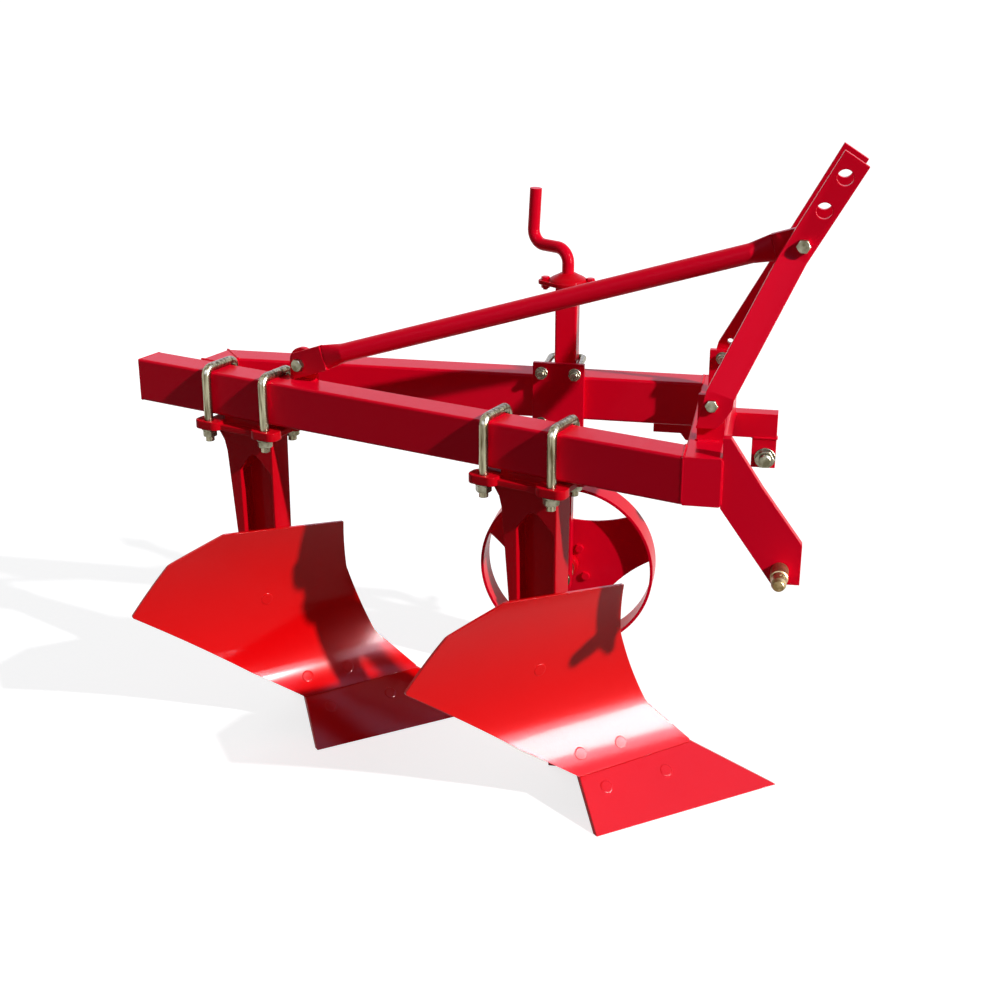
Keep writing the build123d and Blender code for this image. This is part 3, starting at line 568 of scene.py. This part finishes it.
def nut_on_stud(seat, axis, radius, height, tail, pitch, washer_thickness=0.0018, flats=3.0):
    """Washer on the seat, nut on the washer up to the height, and a threaded tail past it.
    The nut is flats radii wide across its flats."""
    washer_radius, crest_radius = 1.85 * radius, 1.03 * radius
    unit = Vector(axis).normalized()
    on_washer = Vector(seat) + unit * washer_thickness
    past_nut = Vector(seat) + unit * height
    return [
        washer(seat, unit, washer_radius, washer_thickness),
        hexagon(on_washer, unit, flats / 2 * radius, height - washer_thickness),
        thread(past_nut, unit, crest_radius, tail, pitch),
    ]


def bolt(start, axis, radius, grip, pitch, flats=3.0):
    """Hexagon-headed bolt through its grip, with a nut and a washer on the far side. Head
    and nut are flats radii wide across their flats."""
    head_height, nut_height, tail = 1.25 * radius, 1.6 * radius, 0.6 * radius
    unit = Vector(axis).normalized()
    head = hexagon(start, -unit, flats / 2 * radius, head_height)
    shank = turned(start, unit, [(0.0, 0.0), (0.0, radius), (grip, radius), (grip, 0.0)])
    far = Vector(start) + unit * grip
    nut = nut_on_stud(far, unit, radius, nut_height, tail, pitch, washer_thickness=0.0015, flats=flats)
    return [head, shank, *nut]


# U-bolt nuts: two U-bolts to a standard, their legs square to the main beam
leg_radius, leg_pitch = 0.008, 0.0020
leg_ahead = 0.0635
leg_aside = 0.040
for place in ("front", "rear"):
    low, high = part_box(f"{place}_u_bolt_nuts")
    centre = (low + high) / 2
    nuts = []
    for ahead in (-leg_ahead, leg_ahead):
        for aside in (-leg_aside, leg_aside):
            leg = centre + beam_forward * ahead + beam_across * aside
            seat = (leg.x, leg.y, high.z)
            nuts += nut_on_stud(seat, (0, 0, -1), leg_radius, 0.0144, 0.0094, leg_pitch)
    nut_set = make_piece(f"{place}_u_bolt_nut_set", nuts, zinc, "frame")
    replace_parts(nut_set, f"{place}_u_bolt_nuts")

# clamp nuts on the depth wheel's post
clamp_radius, clamp_pitch = 0.006, 0.0016
clamp_aside = 0.030
clamp_apart = 0.047
low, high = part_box("wheel_clamp_nuts")
centre = (low + high) / 2
nuts = []
for x in (centre.x - clamp_aside, centre.x + clamp_aside):
    for z in (centre.z - clamp_apart, centre.z + clamp_apart):
        nuts += nut_on_stud((x, high.y, z), (0, -1, 0), clamp_radius, 0.0108, 0.0054, clamp_pitch)
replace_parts(make_piece("wheel_clamp_nut_set", nuts, zinc, "frame"), "wheel_clamp_nuts")

# mast bolts: one through each foot, one through both bars and the stay's front end
foot_radius, foot_head, foot_grip, foot_pitch = 0.006, 0.0075, 0.022, 0.0018
low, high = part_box("mast_foot_bolts")
centre = (low + high) / 2
foot = [
    *bolt((centre.x, low.y + foot_head, centre.z), (0, 1, 0), foot_radius, foot_grip, foot_pitch),
    *bolt((centre.x, high.y - foot_head, centre.z), (0, -1, 0), foot_radius, foot_grip, foot_pitch),
]
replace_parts(make_piece("mast_foot_bolt_set", foot, zinc, "frame"), "mast_foot_bolts")
stay_radius, stay_head, stay_grip, stay_pitch = 0.008, 0.010, 0.091, 0.0020
low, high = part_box("mast_stay_bolt")
centre = (low + high) / 2
start = (centre.x, low.y + stay_head, centre.z)
through = bolt(start, (0, 1, 0), stay_radius, stay_grip, stay_pitch, flats=2.5)
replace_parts(make_piece("mast_stay_bolt_set", through, zinc, "frame"), "mast_stay_bolt")

# the stay's rear bolt, through its flattened end and the lug
lug_grip = 0.022
eye_ahead, eye_aside, eye_drop = 0.002, 0.017, 0.028
eye = lug_middle + beam_forward * eye_ahead - beam_across * eye_aside
eye.z = lug_high.z - eye_drop
through = bolt(eye, beam_across, stay_radius, lug_grip, stay_pitch, flats=2.6)
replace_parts(make_piece("stay_bolt_set", through, zinc, "frame"), "stay_bolt")

# ---------------------------------------------------------------- painted bolts
# Two bolts hold the bearing flange to the post's head, and four hold the wheel's disc to
# its hub. They are zinc-plated like the rest, but were sprayed over with the frame.
flange_bolt_aside, flange_bolt_head, flange_bolt_grip = 0.041, 0.00625, 0.008
low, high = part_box("post_flange_bolts")
centre = (low + high) / 2
flange = []
for x in (centre.x - flange_bolt_aside, centre.x + flange_bolt_aside):
    start = (x, centre.y, high.z - flange_bolt_head)
    flange += bolt(start, (0, 0, -1), 0.0046, flange_bolt_grip, 0.0015)
flange_set = make_piece("post_flange_bolt_set", flange, steel_enamel, "frame")
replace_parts(flange_set, "post_flange_bolts")
hub_bolt_circle, hub_bolt_grip = 0.042, 0.014
hub = []
for away in np.radians([58.0, 148.0, 238.0, 328.0]):
    x = axle_x + hub_bolt_circle * math.cos(away)
    z = axle_z + hub_bolt_circle * math.sin(away)
    hub += bolt((x, disc_low.y, z), (0, 1, 0), 0.005, hub_bolt_grip, 0.0015)
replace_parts(make_piece("hub_bolt_set", hub, steel_enamel, "wheel"), "hub_bolts")

# ---------------------------------------------------------------- crank bearing dome
# The cast bearing flange rises to the crank in one smooth dome, which is fettled and
# painted with the post. It covers the flange's stepped boss.
# distance above the flange, radius
dome_profile = (
    (-0.001, 0.0), (-0.001, 0.0355), (0.0008, 0.0350), (0.0030, 0.0335), (0.0056, 0.0300),
    (0.0082, 0.0250), (0.0104, 0.0202), (0.0122, 0.0168), (0.0134, 0.0150), (0.0140, 0.0134),
    (0.0140, 0.0),
)
flange_thickness = 0.008
low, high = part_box("post_flange")
centre = (low + high) / 2
dome = turned((centre.x, centre.y, low.z + flange_thickness), (0, 0, 1), dome_profile, turns=64)
make_piece("crank_bearing_dome", [dome], cast_enamel, "frame", 40)


# ---------------------------------------------------------------- lower hitch pins
# Turned steel pins for the tractor's lower links: a long plain bearing, a waist with a
# cross hole for the linch pin, and a tapered nose. A nut on the shank holds each to its plate.
def pin_body(shoulder, axis, stations, hole_at, hole_radius, hole_angle):
    """Turned pin with a cross hole: its radius follows the stations, and points nearer to
    the hole's line than the hole's radius are drawn in towards the axis."""
    hole_depth = 0.010
    hole_edge = 0.0006
    distance, radius = np.array(stations, float).T
    fine = np.unique(np.concatenate([np.arange(distance[0], distance[-1], hole_edge), distance]))
    rows = [(distance[0], 0.0), *zip(fine, np.interp(fine, distance, radius)), (distance[-1], 0.0)]
    grid = turned(shoulder, axis, rows, turns=120)
    unit = np.array(Vector(axis).normalized())
    side = np.array([math.cos(hole_angle), 0.0, math.sin(hole_angle)])
    other = np.cross(unit, side)
    away = grid - np.array(shoulder)
    off = np.hypot(away @ unit - hole_at, away @ other)
    deep = np.clip((hole_radius - off) / hole_edge, 0.0, 1.0) * hole_depth
    across = away - (away @ unit)[..., None] * unit
    length = np.maximum(np.linalg.norm(across, axis=-1, keepdims=True), 1e-9)
    return grid - across / length * np.minimum(deep[..., None], 0.9 * length)


# Yellow-passivated zinc plate, already handled: a dull brass tone with browner clouds.
yellow_zinc = plating("yellow_passivated_steel", "#A8946C", "#6E5A38", 0.34)

# distance from the shoulder, radius
bearing_part = (
    (-0.001, 0.0095), (0.0, 0.0130), (0.0008, 0.0139), (0.0340, 0.0139), (0.0348, 0.0131),
    (0.0352, 0.0124),
)
right_nose = ((0.0550, 0.0118), (0.0566, 0.0116), (0.0640, 0.0088), (0.0648, 0.0080))
left_nose = ((0.0450, 0.0118), (0.0516, 0.0088), (0.0520, 0.0080))
shank_pitch = 0.0022

low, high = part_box("right_hitch_pin")
pin_x, pin_z = (low.x + high.x) / 2, (low.z + high.z) / 2
shoulder = (pin_x, plate_low.y, pin_z)
right_body = pin_body(
    shoulder, (0, -1, 0), bearing_part + right_nose,
    hole_at=0.0470, hole_radius=0.0042, hole_angle=math.radians(64),
)
seat = (pin_x, plate_high.y, pin_z)
right_pin = [right_body, *nut_on_stud(seat, (0, 1, 0), 0.010, 0.014, 0.0078, shank_pitch)]
right_turned = make_piece("right_hitch_pin_turned", right_pin, yellow_zinc, "frame", 30)
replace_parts(right_turned, "right_hitch_pin")

low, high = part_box("left_hitch_pin")
pin_x, pin_z = (low.x + high.x) / 2, (low.z + high.z) / 2
shoulder = (pin_x, hook_high.y, pin_z)
left_body = pin_body(
    shoulder, (0, 1, 0), bearing_part + left_nose,
    hole_at=0.0400, hole_radius=0.0036, hole_angle=math.radians(130),
)
left_turned = make_piece("left_hitch_pin_turned", [left_body], yellow_zinc, "frame", 30)
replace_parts(left_turned, "left_hitch_pin")
seat = (pin_x, hook_low.y, pin_z)
left_nut = nut_on_stud(seat, (0, -1, 0), 0.0104, 0.012, 0.0090, shank_pitch)
make_piece("left_hitch_pin_nut", left_nut, zinc, "frame")

# ---------------------------------------------------------------- plough bolts
# Mouldboard and share are held to the frog by plough bolts: their round heads are sunk
# flush, so only a shallow ring and a slight dome show under the enamel.
board_turn = math.radians(42.0)
edge_run = np.array([math.cos(board_turn), math.sin(board_turn), 0.0])
edge_out = np.array([-math.sin(board_turn), math.cos(board_turn), 0.0])
standard_from_board = np.array([0.17998, 0.21799, 0.0])
head_radius = 0.0112
head_rise = 0.0011
# along the cutting edge from the standard's axis, height
board_heads = ((-0.019, 0.260), (0.0372, 0.1035), (0.121, 0.102))
share_heads = ((0.0612, 0.0536), (0.1848, 0.0515))


def board_across(_, z):
    """Place of the mouldboard's face across its edge: one arc below the height where it is
    upright, a wider one above it."""
    setback, upright = -0.0423, 0.245
    lower_radius, upper_radius = 0.2451, 0.410
    lower = setback - lower_radius + np.sqrt(lower_radius**2 - (upright - z) ** 2)
    upper = setback - upper_radius + np.sqrt(upper_radius**2 - (z - upright) ** 2)
    return np.where(z < upright, lower, upper)


def share_across(u, z):
    """Place of the share's face across its edge: ruled from the cutting edge on the ground
    to the seam with the mouldboard, each rule joining points at the same part of both lines."""
    seam_height = 0.074
    edge_start, edge_length, wing_across, point_across = 0.0068, 0.3713, -0.1858, -0.2113
    seam_start, seam_length, seam_across = 0.0198, 0.2416, -0.1118
    t = z / seam_height
    start = (1 - t) * edge_start + t * seam_start
    part = (u - start) / ((1 - t) * edge_length + t * seam_length)
    return (1 - t) * (wing_across + (point_across - wing_across) * part) + t * seam_across


def sunk_head(axis_place, face, u, z):
    """Shallow dome over a round patch of a face: the patch follows the face, stands nearly
    1 mm proud at its middle and dips under it at its rim."""
    ring = np.array([0.0, 0.3, 0.6, 0.85, 0.97, 1.0, 1.01, 1.0])[:, None] * head_radius
    lift = np.array([0.8, 0.8, 0.78, 0.74, 0.66, 0.3, -0.8, -1.6])[:, None] * head_rise
    angle = np.linspace(0.0, 2 * math.pi, 32, endpoint=False)[None, :]
    reach = 0.004
    slope = float(face(u, np.array(z + reach)) - face(u, np.array(z - reach))) / (2 * reach)
    rise = 1.0 / math.hypot(1.0, slope)
    along = (u + ring * np.cos(angle))[..., None]
    height = z + ring * np.sin(angle) * rise
    across = (face(along[..., 0], height) - lift * rise)[..., None]
    height = (height + lift * rise * slope)[..., None]
    return axis_place + along * edge_run + across * edge_out + height * [0, 0, 1]


for place in ("front", "rear"):
    low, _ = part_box(f"{place}_mouldboard")
    axis_place = np.array([low.x, low.y, 0.0]) + standard_from_board
    heads = [sunk_head(axis_place, board_across, u, z) for u, z in board_heads]
    heads += [sunk_head(axis_place, share_across, u, z) for u, z in share_heads]
    make_piece(f"{place}_plough_bolts", heads, board_enamel, "frame", 50)
